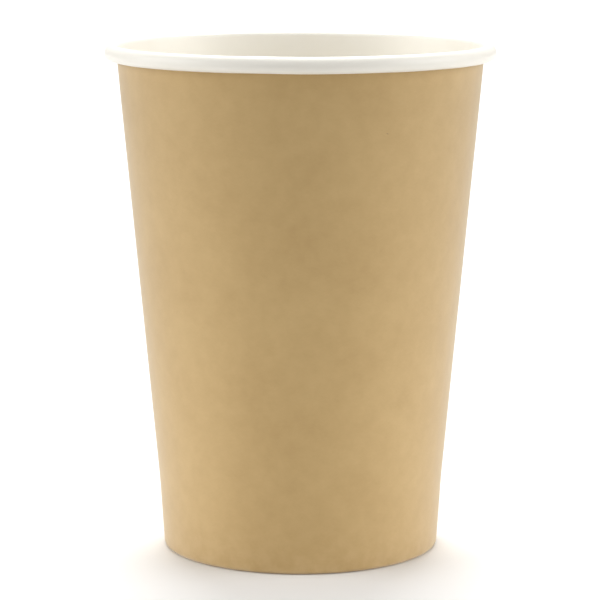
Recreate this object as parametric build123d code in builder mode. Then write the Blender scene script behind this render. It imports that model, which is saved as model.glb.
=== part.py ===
from build123d import *
from math import atan2, cos, degrees, hypot, radians, sin, tan
import os

os.makedirs("parts", exist_ok=True)

# A single-wall paper cup, in millimetres. It stands on Z = 0 and its axis is the Z axis.
# The wall is one fan of board, kraft outside and white coated inside, wrapped and lapped at a side
# seam, rolled outward at the mouth and folded inward at the foot. The base is a second piece of
# board, a disc with a skirt, and the folded foot holds the skirt.

# Driving dimensions
cup_height = 117.0
rim_diameter = 90.0
rim_height = 4.0
shoulder_diameter = 84.04
heel_diameter = 65.98
heel_height = 16.0
foot_diameter = 63.88
board = 0.4
hem_height = 7.0
press_height = 3.0
base_recess = 9.0
skirt_edge = 1.5

# Bends of the board, measured on its white face
roll_radius = 1.95
under_radius = 1.65
under_turn = 80.0
under_flat = 0.87
tuck_radius = 0.5
tuck_turn = 150.0
heel_radius = 250.0
outer_fold_radius = 0.8
inner_fold_radius = 0.3
press_radius = 1.5
press_turn = 25.0
base_bend_radius = 0.9

# Side seam: the azimuth of the inner ply's cut edge, the angle over which the outer ply laps it, and
# the angle in which the board steps outward by its own thickness to pass over that edge
seam_azimuth = 16.0
lap_angle = 11.0
step_angle = 3.0

# Slopes of the wall's two straight sides from the vertical, in degrees
shoulder_height = cup_height - rim_height
side_slope = degrees(
    atan2((shoulder_diameter - heel_diameter) / 2, shoulder_height - heel_height)
)
heel_slope = degrees(atan2((heel_diameter - foot_diameter) / 2, heel_height))
side_out, side_up = sin(radians(side_slope)), cos(radians(side_slope))
heel_out, heel_up = sin(radians(heel_slope)), cos(radians(heel_slope))

# The rim turns over a tight lip, which touches the wall's side and the level of the crown, and then
# round a larger roll out to the rim's full diameter
roll_center = rim_diameter / 2 - roll_radius
side_reach = shoulder_diameter / 2 * side_up - shoulder_height * side_out - board
lip_radius = (roll_center * side_up - cup_height * side_out - side_reach) / (
    1 - side_out
)

# The foot's outer fold, where the heel turns under to the narrow flat that the cup stands on
heel_reach = foot_diameter / 2 * heel_up - board
outer_fold_height = board + outer_fold_radius
outer_fold_center = (
    heel_reach - outer_fold_radius + outer_fold_height * heel_out
) / heel_up

# The hem is pressed against the skirt, which makes the foot three plies thick. Below the pressed
# band it leans away from the skirt to the inner fold, so that the foot ends in a hollow bead.
hem_reach = heel_reach - board
lean_slope = radians(press_turn) + radians(heel_slope)
lean_out, lean_up = sin(lean_slope), cos(lean_slope)
press_edge = (hem_reach + press_height * heel_out) / heel_up
lean_edge = press_edge - press_radius * (heel_up - lean_up)
lean_height = press_height - press_radius * (lean_out - heel_out)
inner_fold_height = board + inner_fold_radius
lean_length = (lean_height - inner_fold_height - inner_fold_radius * lean_out) / lean_up
inner_fold_center = lean_edge - lean_length * lean_out + inner_fold_radius * lean_up
foot_flat = outer_fold_center - inner_fold_center

# Straight lengths of the board between its bends
heel_bend_half = (heel_radius - board) * tan(radians(side_slope - heel_slope) / 2)
heel_length = (
    hypot(
        heel_diameter / 2 - outer_fold_center - outer_fold_height * heel_up,
        heel_height - outer_fold_height + outer_fold_height * heel_out,
    )
    - heel_bend_half
)
side_length = (
    hypot(
        roll_center - (lip_radius - board) * side_up - heel_diameter / 2,
        cup_height - lip_radius + (lip_radius - board) * side_out - heel_height,
    )
    - heel_bend_half
)

# The base's white face and the bend into its skirt, which lies on the wall's white face
floor_height = base_recess + board
base_bend_center = (
    heel_reach - base_bend_radius + (floor_height - base_bend_radius) * heel_out
) / heel_up


def radial_plane(azimuth):
    """The upright plane through the cup's axis whose local X points outward at this azimuth."""
    angle = radians(azimuth)
    return Plane(
        origin=(0, 0, 0),
        x_dir=(cos(angle), sin(angle), 0),
        z_dir=(sin(angle), -cos(angle), 0),
    )


def board_line(depth, step, tucked):
    """Draws the board's line at this depth below its white face, from the hem's edge to the rim's.

    Above the foot the board stands outward by the step, which also tightens its roll. Under the rim
    it runs back to the wall, and its tucked edge turns up inside the roll.
    """
    hem_edge = (hem_reach - depth + hem_height * heel_out) / heel_up
    hem_bottom = (press_edge - depth * heel_up, press_height + depth * heel_out)
    sunk = depth + step

    hem = Line((hem_edge, hem_height), hem_bottom)
    press = JernArc(hem @ 1, hem % 1, press_radius - depth, -press_turn)
    lean = PolarLine(press @ 1, lean_length, direction=press % 1)
    inner_fold = JernArc(
        lean @ 1, lean % 1, inner_fold_radius + depth, 90 + heel_slope + press_turn
    )
    flat = PolarLine(
        inner_fold @ 1, foot_flat + step / heel_up, direction=inner_fold % 1
    )
    outer_fold = JernArc(
        flat @ 1, flat % 1, outer_fold_radius + depth, 90 - heel_slope
    )
    heel = PolarLine(
        outer_fold @ 1,
        heel_length - step * heel_out / heel_up,
        direction=outer_fold % 1,
    )
    heel_bend = JernArc(
        heel @ 1, heel % 1, heel_radius - sunk, heel_slope - side_slope
    )
    side = PolarLine(heel_bend @ 1, side_length, direction=heel_bend % 1)
    lip = JernArc(side @ 1, side % 1, lip_radius - sunk, side_slope - 90)
    roll = JernArc(lip @ 1, lip % 1, roll_radius - sunk, -90)
    under = JernArc(roll @ 1, roll % 1, under_radius - sunk, -under_turn)
    under_side = PolarLine(under @ 1, under_flat, direction=under % 1)
    if not tucked:
        return hem @ 0, under_side @ 1
    tuck = JernArc(
        under_side @ 1, under_side % 1, tuck_radius - sunk, -tuck_turn
    )
    return hem @ 0, tuck @ 1


def board_section(step=0, tucked=False):
    """The section of one ply of the wrapped board, from its white face to its kraft face."""
    with BuildSketch() as section:
        with BuildLine():
            white_start, white_end = board_line(0, step, tucked)
            kraft_start, kraft_end = board_line(board, step, tucked)
            Line(white_start, kraft_start)
            Line(white_end, kraft_end)
        make_face()
    return section.sketch


# Sidewall: the wrapped board, with its rolled rim, folded foot and side seam
with BuildPart() as sidewall:
    # One ply all round, from where the board has stepped down again to the outer ply's cut edge
    with BuildSketch(radial_plane(seam_azimuth + step_angle)):
        add(board_section(tucked=True))
    revolve(axis=Axis.Z, revolution_arc=360 - lap_angle - step_angle)

    # The step, which leaves the inner ply's edge standing inside the cup
    with BuildSketch(radial_plane(seam_azimuth)):
        add(board_section(step=board))
    with BuildSketch(radial_plane(seam_azimuth + step_angle)):
        add(board_section())
    loft(ruled=True)

    # The lap, two plies thick
    with BuildSketch(radial_plane(seam_azimuth - lap_angle)):
        add(board_section(tucked=True))
        add(board_section(step=board))
    revolve(axis=Axis.Z, revolution_arc=lap_angle)

sidewall.part.label = "sidewall"
export_step(sidewall.part, "parts/sidewall.step")


def base_line(depth):
    """Draws the base's line at this depth below its white face, from the axis to the skirt's edge."""
    level = floor_height - depth
    floor = Line((0, level), (base_bend_center, level))
    bend = JernArc(
        floor @ 1, floor % 1, base_bend_radius - depth, -90 - heel_slope
    )
    edge = (bend @ 1).X - ((bend @ 1).Y - skirt_edge) * heel_out / heel_up
    Line(bend @ 1, (edge, skirt_edge))
    return (0, level), (edge, skirt_edge)


# Base: a disc of board whose edge is turned down into a skirt, between the wall and its hem
with BuildPart() as base_disc:
    with BuildSketch(Plane.XZ):
        with BuildLine():
            top_axis, top_edge = base_line(0)
            under_axis, under_edge = base_line(board)
            Line(top_axis, under_axis)
            Line(top_edge, under_edge)
        make_face()
    revolve(axis=Axis.Z)

base_disc.part.label = "base_disc"
export_step(base_disc.part, "parts/base_disc.step")
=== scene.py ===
from math import atan2, cos, hypot, pi, radians, sin, tan, tau

import bmesh
import bpy
import numpy as np
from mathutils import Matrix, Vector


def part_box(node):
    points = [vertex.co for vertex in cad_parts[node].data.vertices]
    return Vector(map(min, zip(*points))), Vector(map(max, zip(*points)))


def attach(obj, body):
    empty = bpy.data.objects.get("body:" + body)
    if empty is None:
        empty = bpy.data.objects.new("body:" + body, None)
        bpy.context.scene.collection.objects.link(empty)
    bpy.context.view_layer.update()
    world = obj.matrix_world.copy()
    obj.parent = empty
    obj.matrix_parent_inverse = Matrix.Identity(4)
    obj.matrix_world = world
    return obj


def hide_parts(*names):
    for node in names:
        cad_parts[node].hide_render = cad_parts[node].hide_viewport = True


# A single-wall paper cup, in metres. The sidewall is one wrapped sheet of board, lapped at a side
# seam, with a rolled rim and a folded foot. The base is a disc of board with a skirt.

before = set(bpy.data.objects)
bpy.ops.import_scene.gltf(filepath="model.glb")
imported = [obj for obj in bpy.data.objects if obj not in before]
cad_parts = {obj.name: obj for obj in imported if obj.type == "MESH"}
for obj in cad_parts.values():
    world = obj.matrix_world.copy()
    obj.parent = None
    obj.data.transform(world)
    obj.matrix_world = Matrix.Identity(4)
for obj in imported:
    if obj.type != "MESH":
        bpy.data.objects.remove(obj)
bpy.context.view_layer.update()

# Outer sizes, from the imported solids
wall_low, wall_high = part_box("sidewall")
base_low, base_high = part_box("base_disc")
rim_radius = min(wall_high.x, wall_high.y, -wall_low.x, -wall_low.y)
cup_height = wall_high.z
floor_height = base_high.z
skirt_edge = base_low.z

# Board and section, with bends measured on the white face
board = 0.0004
rim_height = 0.0040
shoulder_radius = 0.04202
heel_radius = 0.03299
heel_height = 0.0160
foot_radius = 0.03194
hem_height = 0.0070
press_height = 0.0030
roll_bend = 0.00195
under_bend = 0.00165
under_turn = radians(80)
under_flat = 0.00087
tuck_bend = 0.0005
tuck_turn = radians(150)
heel_bend = 0.250
outer_fold = 0.0008
inner_fold = 0.0003
press_bend = 0.0015
press_turn = radians(25)
skirt_bend = 0.0009

# Slopes of the wall's two straight sides from the vertical, and the distance from the origin to the
# line of the heel's white face, square to that line
side_slope = atan2(shoulder_radius - heel_radius, cup_height - rim_height - heel_height)
heel_slope = atan2(heel_radius - foot_radius, heel_height)
heel_reach = foot_radius * cos(heel_slope) - board

# Side seam: azimuths counter-clockwise from +X, the gap between its plies, and the share of the
# rim's tuck that its outer ply goes without
inner_edge = radians(16)
outer_edge = radians(5)
step_angle = radians(3)
ply_gap = 0.00001
tuck_shortfall = 0.98

# Unevenness of a made cup. A wave is its number of periods round the cup, its height and its phase.
# The rim dips by the same waves as it draws inward, turned on by an angle.
rim_waves = ((3, 0.00002, 2.0), (7, 0.00002, 4.4), (12, 0.00002, 1.3), (19, 0.00001, 0.6))
wall_waves = ((2, 0.00006, 2.6), (5, 0.00003, 0.4), (9, 0.00002, 3.3))
skirt_waves = ((31, 0.00003, 0.5), (53, 0.00003, 2.2), (74, 0.00002, 4.0))
rim_dip_turn = 1.0
base_sag = 0.00015

# Where the waves set in: the rim's this far below its crown, the wall's between two heights, and the
# skirt's this far inside its bend
rim_wave_reach = 0.012
wall_wave_start = 0.010
wall_wave_full = 0.050
skirt_wave_reach = 0.004

# Knurled band inside the foot
knurl_ridges = 105
knurl_depth = 0.00008

# Columns of the meshes: over the lap, over its step, round the rest of the sidewall with nearly four
# to a knurled ridge, and round the base. The base's innermost ring has a fan of faces inside it.
lap_columns = 14
step_columns = 8
round_columns = 404
base_columns = 400
first_ring = 0.0010
sharp_angle = radians(50)

# Colours, as linear red, green and blue with opacity
kraft_dark = (0.500, 0.325, 0.122, 1)
kraft_light = (0.601, 0.412, 0.172, 1)
kraft_speck = (0.22, 0.12, 0.05, 1)
kraft_worn = (0.74, 0.55, 0.31, 1)
kraft_sheen = (1.0, 0.98, 0.94, 1)
coated_dark = (0.940, 0.900, 0.810, 1)
coated_light = (0.960, 0.930, 0.850, 1)
uncoated_dark = (0.78, 0.745, 0.67, 1)
uncoated_light = (0.86, 0.83, 0.76, 1)
core_dark = (0.60, 0.46, 0.29, 1)
core_light = (0.76, 0.65, 0.48, 1)
floor_dark = (0.90, 0.90, 0.895, 1)
floor_light = (0.92, 0.92, 0.915, 1)
white = (1.0, 1.0, 1.0, 1)

# Relief of the finishes, and the range that most of a noise field's values lie in
fibre_relief = 0.00003
coated_relief = 0.00001
floor_relief = 0.00002
field_range = (0.3, 0.7)

# Light. Each softbox is a wide disc far away: its name, azimuth, elevation, width as an angle, and
# the radiance that it gives to a white surface that faces it, where 1 shows as white.
world_radiance = 0.43
softboxes = (
    ("light_behind", radians(90), radians(50), radians(40), 0.72),
    ("light_above", radians(0), radians(90), radians(40), 0.18),
    ("light_left", radians(185), radians(16), radians(48), 0.52),
    ("light_right", radians(355), radians(16), radians(48), 0.52),
)

# Floor: how far its near part and the whole of it reach from the cup's axis, along X and Y
bounce_reach = 0.17
floor_reach = 6.0

# Camera: sensor and lens in millimetres, place, and the angle that it looks down from level
camera_sensor = 36.0
camera_lens = 162.5
camera_place = (-0.00012, -0.6219, 0.1582)
camera_tilt = 0.1607


class BoardLine:
    """The white face of a strip of board in section, walked as straight runs and round bends.

    Points are (radius, height). The board lies to the right of the walk.
    """

    def __init__(self, start, heading):
        self.points = [start]
        self.headings = [heading]
        self.marks = {}

    def straight(self, length, steps=1):
        heading = self.headings[-1]
        for _ in range(steps):
            across, up = self.points[-1]
            run = length / steps
            self.points.append((across + run * cos(heading), up + run * sin(heading)))
            self.headings.append(heading)

    def bend(self, radius, turn, steps):
        """Turns left for a positive angle and right for a negative one."""
        side = 1 if turn > 0 else -1
        for _ in range(steps):
            across, up = self.points[-1]
            heading = self.headings[-1]
            center = (across - side * radius * sin(heading), up + side * radius * cos(heading))
            heading += turn / steps
            self.points.append(
                (center[0] + side * radius * sin(heading), center[1] - side * radius * cos(heading))
            )
            self.headings.append(heading)

    def mark(self, name):
        self.marks[name] = len(self.points) - 1

    def arrays(self):
        """Points, unit vectors from there through the board, and lengths along the line."""
        points = np.array(self.points)
        headings = np.array(self.headings)
        through = np.stack((np.sin(headings), -np.cos(headings)), axis=1)
        runs = np.hypot(*np.diff(points, axis=0).T)
        return points, through, np.concatenate(([0], np.cumsum(runs)))


def smooth(value, start, end):
    """A smooth step from 0 at start to 1 at end."""
    share = np.clip((value - start) / (end - start), 0, 1)
    return share * share * (3 - 2 * share)


def waves(azimuth, parts):
    return sum(height * np.sin(count * azimuth + phase) for count, height, phase in parts)


def raised_waves(azimuth, parts):
    """Waves raised by their full height, so that they are nowhere below 0."""
    return sum(height for _, height, _ in parts) + waves(azimuth, parts)


def in_the_round(azimuth, radius, height):
    across = (radius * np.cos(azimuth), radius * np.sin(azimuth))
    return np.stack(np.broadcast_arrays(*across, height), axis=-1)


def sheet_faces(rows, columns, closed):
    """Quads of one face of a sheet, whose points run along its columns row by row."""
    last = columns if closed else columns - 1
    return [
        (
            row * columns + column,
            row * columns + (column + 1) % columns,
            (row + 1) * columns + (column + 1) % columns,
            (row + 1) * columns + column,
        )
        for row in range(rows - 1)
        for column in range(last)
    ]


def other_face(faces, count):
    """The same faces on the sheet's other side, whose points follow the first side's."""
    return [tuple(count + place for place in face) for face in faces]


def row_edge(row, columns, count, closed):
    """Quads that join the two faces of a sheet along a row."""
    last = columns if closed else columns - 1
    start = row * columns
    return [
        (start + c, start + (c + 1) % columns, count + start + (c + 1) % columns, count + start + c)
        for c in range(last)
    ]


def column_edge(column, rows, columns, count):
    """Quads that join the two faces of a sheet along a column."""
    places = [row * columns + column for row in range(rows)]
    return [(a, b, count + b, count + a) for a, b in zip(places, places[1:])]


def add_object(name, data):
    made = bpy.data.objects.new(name, data)
    bpy.context.scene.collection.objects.link(made)
    return made


def make_mesh(name, points, face_groups, flat_places, materials):
    """A mesh object with a material for each group of faces, and every point's place on the flat
    board."""
    mesh = bpy.data.meshes.new(name)
    faces = [face for group in face_groups for face in group]
    mesh.from_pydata(points.tolist(), [], faces)
    for material in materials:
        mesh.materials.append(material)
    slots = [slot for slot, group in enumerate(face_groups) for _ in group]
    mesh.polygons.foreach_set("material_index", slots)
    mesh.polygons.foreach_set("use_smooth", [True] * len(faces))
    layer = mesh.uv_layers.new(name="board")
    corners = np.empty(len(mesh.loops), dtype=np.int32)
    mesh.loops.foreach_get("vertex_index", corners)
    layer.data.foreach_set("uv", flat_places[corners].ravel())

    work = bmesh.new()
    work.from_mesh(mesh)
    bmesh.ops.recalc_face_normals(work, faces=work.faces)
    work.to_mesh(mesh)
    work.free()
    mesh.set_sharp_from_angle(angle=sharp_angle)
    mesh.validate()
    return add_object(name, mesh)


def set_wear(piece, wear):
    """Stores how burnished each point of a piece is, from 0 to 1, for the kraft finish to read."""
    attribute = piece.data.attributes.new("wear", "FLOAT", "POINT")
    attribute.data.foreach_set("value", wear.astype(np.float32))


def wall_line():
    """The sidewall's section, from the hem's edge inside the foot to the tucked edge in the rim."""
    heel_out, heel_up = sin(heel_slope), cos(heel_slope)
    side_out, side_up = sin(side_slope), cos(side_slope)

    hem_reach = heel_reach - board
    lean_out, lean_up = sin(heel_slope + press_turn), cos(heel_slope + press_turn)
    lean_edge = (hem_reach + press_height * heel_out) / heel_up - press_bend * (heel_up - lean_up)
    lean_height = press_height - press_bend * (lean_out - heel_out)
    lean_length = (lean_height - board - inner_fold - inner_fold * lean_out) / lean_up
    inner_center = lean_edge - lean_length * lean_out + inner_fold * lean_up
    outer_height = board + outer_fold
    outer_center = (heel_reach - outer_fold + outer_height * heel_out) / heel_up

    roll_center = rim_radius - roll_bend
    side_reach = shoulder_radius * side_up - (cup_height - rim_height) * side_out - board
    lip_bend = (roll_center * side_up - cup_height * side_out - side_reach) / (1 - side_out)
    bend_half = (heel_bend - board) * tan((side_slope - heel_slope) / 2)
    heel_length = hypot(
        heel_radius - outer_center - outer_height * heel_up,
        heel_height - outer_height + outer_height * heel_out,
    )
    side_length = hypot(
        roll_center - (lip_bend - board) * side_up - heel_radius,
        cup_height - lip_bend + (lip_bend - board) * side_out - heel_height,
    )

    line = BoardLine(
        ((hem_reach + hem_height * heel_out) / heel_up, hem_height), -pi / 2 - heel_slope
    )
    line.straight((hem_height - press_height) / heel_up, steps=5)
    line.mark("press")
    line.bend(press_bend, -press_turn, steps=4)
    line.straight(lean_length, steps=2)
    line.bend(inner_fold, pi / 2 + heel_slope + press_turn, steps=7)
    line.straight(outer_center - inner_center)
    line.bend(outer_fold, pi / 2 - heel_slope, steps=7)
    line.mark("heel")
    line.straight(heel_length - bend_half, steps=6)
    line.bend(heel_bend, heel_slope - side_slope, steps=4)
    line.straight(side_length - bend_half, steps=16)
    line.bend(lip_bend, side_slope - pi / 2, steps=10)
    line.bend(roll_bend, -pi / 2, steps=11)
    line.bend(under_bend, -under_turn, steps=9)
    line.straight(under_flat, steps=2)
    line.mark("tuck")
    line.bend(tuck_bend, -tuck_turn, steps=8)
    return line


def wall_azimuths():
    """Azimuths of the sidewall's columns: over the lap, down the step and once round the cup."""
    step_end = inner_edge + step_angle
    return np.concatenate(
        (
            np.linspace(outer_edge, inner_edge, lap_columns, endpoint=False),
            np.linspace(inner_edge, step_end, step_columns, endpoint=False),
            np.linspace(step_end, inner_edge + tau, round_columns),
        )
    )[None, :]


def ply_depths(azimuth, outer, row, heel):
    """How far through the board the white and the kraft face lie from the inner ply's white face.

    The outer ply stands out by a board's thickness and the gap, except at the foot, where both plies
    of the lap are pressed to half their thickness. They reach it in full just above the foot's fold.
    """
    last_pressed = heel - 2
    first_full = heel + 4
    pressed = 1 - smooth(row, last_pressed, first_full)
    inner = smooth(azimuth, outer_edge + tau - step_angle, outer_edge + tau)
    ply = board + ply_gap
    white_depth = outer * (ply * (1 - pressed) + ply / 2 * pressed)
    kraft_depth = board + outer * ply * (1 - pressed) - inner * (board / 2) * pressed
    return white_depth, kraft_depth


def knurl(azimuth, row, press):
    """Depth of the ridges pressed into the hem, from its edge down to where it starts to lean."""
    in_band = (row > 0) & (row < press)
    return np.where(in_band, knurl_depth * (1 + np.cos(knurl_ridges * azimuth)) / 2, 0)


def end_outer_ply(points, through, outer, row, tuck):
    """Points and directions through the board for every column. The outer ply ends before the rim's
    tuck, which has no room for it."""
    start = points[tuck]
    held = start + (points[:, None, :] - start) * (1 - tuck_shortfall * outer)[..., None]
    in_tuck = (row > tuck)[..., None]
    mostly_outer = (outer > 0.5)[..., None]
    placed = np.where(in_tuck, held, points[:, None, :])
    turned = np.where(in_tuck & mostly_outer, through[tuck], through[:, None, :])
    return placed, turned


def wall_shape(azimuth, radius, height):
    """Gives the wall its small waves. Those of the rim only draw it inward and down."""
    rim_share = smooth(height, cup_height - rim_wave_reach, cup_height - rim_height)
    wall_share = smooth(height, wall_wave_start, wall_wave_full) * (1 - rim_share)
    inward = rim_share * raised_waves(azimuth, rim_waves)
    inward = inward + wall_share * waves(azimuth, wall_waves)
    down = rim_share * raised_waves(azimuth + rim_dip_turn, rim_waves)
    return in_the_round(azimuth, radius - inward, height - down)


def make_sidewall(white_face, kraft_face, cut_edge):
    """The wrapped board: from its outer cut edge over the lap, down a step and once round the cup to
    its inner cut edge, which lies under the lap."""
    line = wall_line()
    points, through, lengths = line.arrays()
    azimuth = wall_azimuths()
    row = np.arange(len(points))[:, None]
    outer = 1 - smooth(azimuth, inner_edge, inner_edge + step_angle)
    placed, turned = end_outer_ply(points, through, outer, row, line.marks["tuck"])
    white_depth, kraft_depth = ply_depths(azimuth, outer, row, line.marks["heel"])
    kraft_depth = kraft_depth - knurl(azimuth, row, line.marks["press"])
    shaped = []
    for depth in (white_depth, kraft_depth):
        face = placed + turned * depth[..., None]
        shaped.append(wall_shape(azimuth, face[..., 0], face[..., 1]))

    rows, columns = shaped[0].shape[:2]
    count = rows * columns
    white_quads = sheet_faces(rows, columns, closed=False)
    edges = row_edge(0, columns, count, closed=False)
    edges += row_edge(rows - 1, columns, count, closed=False)
    edges += column_edge(0, rows, columns, count)
    edges += column_edge(columns - 1, rows, columns, count)
    flat = np.broadcast_arrays(azimuth * shoulder_radius, lengths[:, None])
    flat = np.stack(flat, axis=-1).reshape(-1, 2)
    wall = make_mesh(
        "sidewall_board",
        np.concatenate([face.reshape(-1, 3) for face in shaped]),
        (white_quads, other_face(white_quads, count), edges),
        np.concatenate((flat, flat)),
        (white_face, kraft_face, cut_edge),
    )

    # The board is burnished where it turns under at the foot, over a few rows to each side
    fold_row = line.marks["heel"] - 4
    fold_spread = 5.0
    worn = np.exp(-(((row - fold_row) / fold_spread) ** 2))
    worn = np.broadcast_to(worn, (rows, columns)).reshape(-1)
    set_wear(wall, np.concatenate((worn, worn)))
    return wall


def base_line(bend_start):
    """The base's section, from its innermost ring to the skirt's edge."""
    line = BoardLine((first_ring, floor_height), 0)
    line.straight(bend_start - first_ring, steps=24)
    line.bend(skirt_bend, -pi / 2 - heel_slope, steps=8)
    drop = line.points[-1][1] - skirt_edge
    line.straight(drop / cos(heel_slope), steps=5)
    return line


def base_shape(azimuth, radius, height, bend_start):
    """Gives the base its sag and its skirt's puckers, which only draw it inward."""
    pucker = smooth(radius, bend_start - skirt_wave_reach, bend_start)
    pucker = pucker * raised_waves(azimuth, skirt_waves)
    sag = base_sag * (1 - (np.minimum(radius, bend_start) / bend_start) ** 2)
    return in_the_round(azimuth, radius - pucker, height - sag)


def make_base(white_face, under_face, cut_edge):
    """The base: a disc whose edge turns down into a skirt."""
    bend_start = heel_reach - skirt_bend + (floor_height - skirt_bend) * sin(heel_slope)
    bend_start = bend_start / cos(heel_slope)
    points, through, _ = base_line(bend_start).arrays()
    azimuth = np.linspace(0, tau, base_columns, endpoint=False)[None, :]
    shaped = []
    for depth in (0, board):
        place = points + through * depth
        shaped.append(base_shape(azimuth, place[:, :1], place[:, 1:], bend_start))
    middle_height = floor_height - base_sag
    middles = np.array([[0, 0, middle_height], [0, 0, middle_height - board]])
    shaped = np.concatenate([face.reshape(-1, 3) for face in shaped] + [middles])

    rows = len(points)
    columns = base_columns
    count = rows * columns
    middle = 2 * count
    white_quads = sheet_faces(rows, columns, closed=True)
    white_fan = [(middle, (c + 1) % columns, c) for c in range(columns)]
    under_fan = [(middle + 1, count + c, count + (c + 1) % columns) for c in range(columns)]
    edges = row_edge(rows - 1, columns, count, closed=True)
    return make_mesh(
        "base_board",
        shaped,
        (white_quads + white_fan, other_face(white_quads, count) + under_fan, edges),
        shaped[:, :2],
        (white_face, under_face, cut_edge),
    )


class Surface:
    """A material's node tree, with short calls for the nodes that the finishes are made of."""

    def __init__(self, name):
        self.material = bpy.data.materials.new(name)
        self.material.use_nodes = True
        self.tree = self.material.node_tree
        self.shader = self.tree.nodes["Principled BSDF"]

    def feed(self, socket, value):
        """Links a socket to another node's output, or sets it to a constant."""
        if isinstance(value, bpy.types.NodeSocket):
            self.tree.links.new(value, socket)
        else:
            socket.default_value = value

    def node(self, kind, inputs=(), **settings):
        made = self.tree.nodes.new(kind)
        for name, value in settings.items():
            setattr(made, name, value)
        for name, value in dict(inputs).items():
            self.feed(made.inputs[name], value)
        return made

    def place(self):
        return self.node("ShaderNodeTexCoord").outputs["Object"]

    def flat_place(self, turn, stretch):
        """The place on the flat board, turned, then stretched along each of its two directions."""
        flat = self.node("ShaderNodeUVMap", uv_map="board").outputs["UV"]
        turned = self.node("ShaderNodeMapping", {"Vector": flat, "Rotation": (0, 0, turn)})
        scaled = {"Vector": turned.outputs["Vector"], "Scale": (*stretch, 1)}
        return self.node("ShaderNodeMapping", scaled).outputs["Vector"]

    def noise(self, place, scale, detail, roughness):
        """A noise field from 0 to 1. Its scale is in features to the metre."""
        inputs = {"Vector": place, "Scale": scale, "Detail": detail, "Roughness": roughness}
        return self.node("ShaderNodeTexNoise", inputs).outputs["Fac"]

    def span(self, value, source, target):
        """Carries a value over from one range to another, and holds it at the ends."""
        inputs = {"Value": value, "From Min": source[0], "From Max": source[1]}
        inputs.update({"To Min": target[0], "To Max": target[1]})
        return self.node("ShaderNodeMapRange", inputs).outputs["Result"]

    def math(self, operation, first, second):
        made = self.node("ShaderNodeMath", operation=operation)
        self.feed(made.inputs[0], first)
        self.feed(made.inputs[1], second)
        return made.outputs["Value"]

    def total(self, *terms):
        result = terms[0]
        for term in terms[1:]:
            result = self.math("ADD", result, term)
        return result

    def mix(self, share, first, second):
        """A colour between two others."""
        made = self.node("ShaderNodeMix", data_type="RGBA")
        sockets = {socket.identifier: socket for socket in (*made.inputs, *made.outputs)}
        self.feed(sockets["Factor_Float"], share)
        self.feed(sockets["A_Color"], first)
        self.feed(sockets["B_Color"], second)
        return sockets["Result_Color"]

    def wear(self):
        return self.node("ShaderNodeAttribute", attribute_name="wear").outputs["Fac"]

    def finish(self, color, roughness, height, relief):
        """Joins colour, roughness and a bump of this relief to the shader."""
        bump = self.node("ShaderNodeBump", {"Height": height, "Distance": relief, "Strength": 1.0})
        self.feed(self.shader.inputs["Base Color"], color)
        self.feed(self.shader.inputs["Roughness"], roughness)
        self.feed(self.shader.inputs["Normal"], bump.outputs["Normal"])
        return self.material


def fibre_field(surface, scale):
    """Fine fibres that lie mostly along the board's grain, from 0 to 1."""
    slenderness = (1.0, 6.0)
    fields = [
        surface.noise(surface.flat_place(radians(turn), slenderness), scale, detail=3.0, roughness=0.6)
        for turn in (-24, 6, 33)
    ]
    return surface.math("DIVIDE", surface.total(*fields), len(fields))


def speck_field(surface):
    """Slender specks, 1 in their middles and 0 between them. The board is divided into cells, each
    with a random number, and only the cells with high numbers hold a speck."""
    slenderness = (1.0, 2.6)
    cells_per_metre = 95.0
    speck_radius = (0.02, 0.035)
    high_numbers = (0.86, 0.9)
    place = surface.flat_place(radians(20), slenderness)
    cell = surface.node("ShaderNodeTexVoronoi", {"Vector": place, "Scale": cells_per_metre})
    random = surface.node("ShaderNodeSeparateColor", {"Color": cell.outputs["Color"]})
    near = surface.span(cell.outputs["Distance"], speck_radius, (1.0, 0.0))
    chosen = surface.span(random.outputs["Red"], high_numbers, (0.0, 1.0))
    return surface.math("MULTIPLY", near, chosen)


def kraft_finish():
    """Unbleached kraft: cloudy formation, fine fibres, a few dark specks, burnished at the fold."""
    cloud_share = 0.95
    flock_share = 0.80
    fibre_share = 0.55
    speck_strength = 0.45
    wear_strength = 0.25
    surface = Surface("kraft_paper")
    place = surface.place()
    cloud = surface.noise(place, scale=70, detail=2.0, roughness=0.6)
    flock = surface.noise(place, scale=330, detail=3.0, roughness=0.55)
    fibre = fibre_field(surface, scale=420)

    tones = [
        surface.math("MULTIPLY", surface.math("SUBTRACT", field, 0.5), share)
        for field, share in ((cloud, cloud_share), (flock, flock_share), (fibre, fibre_share))
    ]
    color = surface.mix(surface.total(*tones, 0.5), kraft_dark, kraft_light)
    speck = surface.math("MULTIPLY", speck_field(surface), speck_strength)
    color = surface.mix(speck, color, kraft_speck)
    patches = surface.span(flock, (0.4, 0.6), (0.0, wear_strength))
    worn = surface.math("MULTIPLY", surface.wear(), patches)
    color = surface.mix(worn, color, kraft_worn)

    surface.shader.inputs["Sheen Weight"].default_value = 0.6
    surface.shader.inputs["Sheen Roughness"].default_value = 0.5
    surface.shader.inputs["Sheen Tint"].default_value = kraft_sheen
    roughness = surface.span(fibre, field_range, (0.70, 0.60))
    height = surface.total(surface.math("MULTIPLY", flock, 0.5), fibre)
    return surface.finish(color, roughness, height, fibre_relief)


def coated_finish():
    """White board under a thin satin coating, which follows the fibres faintly."""
    surface = Surface("coated_white")
    flock = surface.noise(surface.place(), scale=260, detail=3.0, roughness=0.55)
    fibre = fibre_field(surface, scale=380)
    color = surface.mix(flock, coated_dark, coated_light)
    roughness = surface.span(flock, field_range, (0.34, 0.42))
    height = surface.total(flock, surface.math("MULTIPLY", fibre, 0.6))
    return surface.finish(color, roughness, height, coated_relief)


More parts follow.
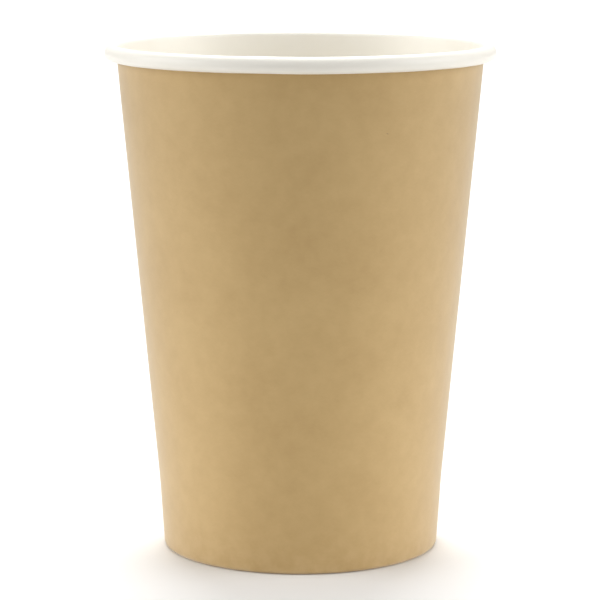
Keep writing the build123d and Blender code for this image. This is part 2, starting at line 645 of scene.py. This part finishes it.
def uncoated_finish():
    """The base's uncoated underside."""
    surface = Surface("uncoated_white")
    flock = surface.noise(surface.place(), scale=300, detail=3.0, roughness=0.6)
    fibre = fibre_field(surface, scale=420)
    color = surface.mix(flock, uncoated_dark, uncoated_light)
    roughness = surface.span(fibre, field_range, (0.75, 0.66))
    height = surface.total(surface.math("MULTIPLY", flock, 0.5), fibre)
    return surface.finish(color, roughness, height, fibre_relief)


def core_finish():
    """The board's cut edge: pressed fibre."""
    surface = Surface("board_core")
    fibre = surface.noise(surface.place(), scale=2600, detail=2.0, roughness=0.6)
    color = surface.mix(fibre, core_dark, core_light)
    roughness = surface.span(fibre, field_range, (0.9, 0.8))
    return surface.finish(color, roughness, fibre, fibre_relief)


def floor_finish():
    """A plain pale surface with a faint grain."""
    surface = Surface("pale_floor")
    grain = surface.noise(surface.place(), scale=40, detail=3.0, roughness=0.5)
    color = surface.mix(grain, floor_dark, floor_light)
    roughness = surface.span(grain, field_range, (0.9, 0.8))
    return surface.finish(color, roughness, grain, floor_relief)


def make_floor():
    """A plain pale floor. Only the part near the cup throws light back up onto it, and the part in
    front isn't mirrored in it, as if a small white table stood in a dim room."""
    material = floor_finish()
    square = ((-1, -1), (1, -1), (1, 1), (-1, 1))
    sides = len(square)
    corners = [(x * reach, y * reach, 0) for reach in (bounce_reach, floor_reach) for x, y in square]
    front, *behind = [
        (side, sides + side, sides + (side + 1) % sides, (side + 1) % sides)
        for side in range(sides)
    ]
    for name, faces, bounces, mirrored in (
        ("floor_near", [tuple(range(sides))], True, True),
        ("floor_front", [front], False, False),
        ("floor_far", behind, False, True),
    ):
        mesh = bpy.data.meshes.new(name)
        mesh.from_pydata(corners, [], faces)
        mesh.materials.append(material)
        floor = add_object(name, mesh)
        floor.visible_diffuse = bounces
        floor.visible_glossy = mirrored


def make_lights():
    """Plain soft studio light: from above and behind, from both sides, and a dim white world."""
    world = bpy.data.worlds.new("surroundings")
    world.use_nodes = True
    background = world.node_tree.nodes["Background"]
    background.inputs["Color"].default_value = white
    background.inputs["Strength"].default_value = world_radiance
    bpy.context.scene.world = world
    for name, azimuth, elevation, width, radiance in softboxes:
        data = bpy.data.lights.new(name, "SUN")
        data.angle = width
        data.energy = radiance * pi
        light = add_object(name, data)
        light.rotation_euler = (0, pi / 2 - elevation, azimuth)


def make_camera():
    """The photograph's view, from a little above the rim."""
    data = bpy.data.cameras.new("camera")
    data.sensor_width = camera_sensor
    data.lens = camera_lens
    camera = add_object("camera", data)
    camera.location = camera_place
    camera.rotation_euler = (pi / 2 - camera_tilt, 0, 0)
    bpy.context.scene.camera = camera


make_camera()
white_face = coated_finish()
cut_edge = core_finish()
sidewall = make_sidewall(white_face, kraft_finish(), cut_edge)
base = make_base(white_face, uncoated_finish(), cut_edge)
for piece, node, slot in (
    (sidewall, "sidewall", "kraft_board"),
    (base, "base_disc", "white_board"),
):
    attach(piece, "root")
    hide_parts(node)

make_floor()
make_lights()
bpy.context.scene.view_settings.view_transform = "Standard"
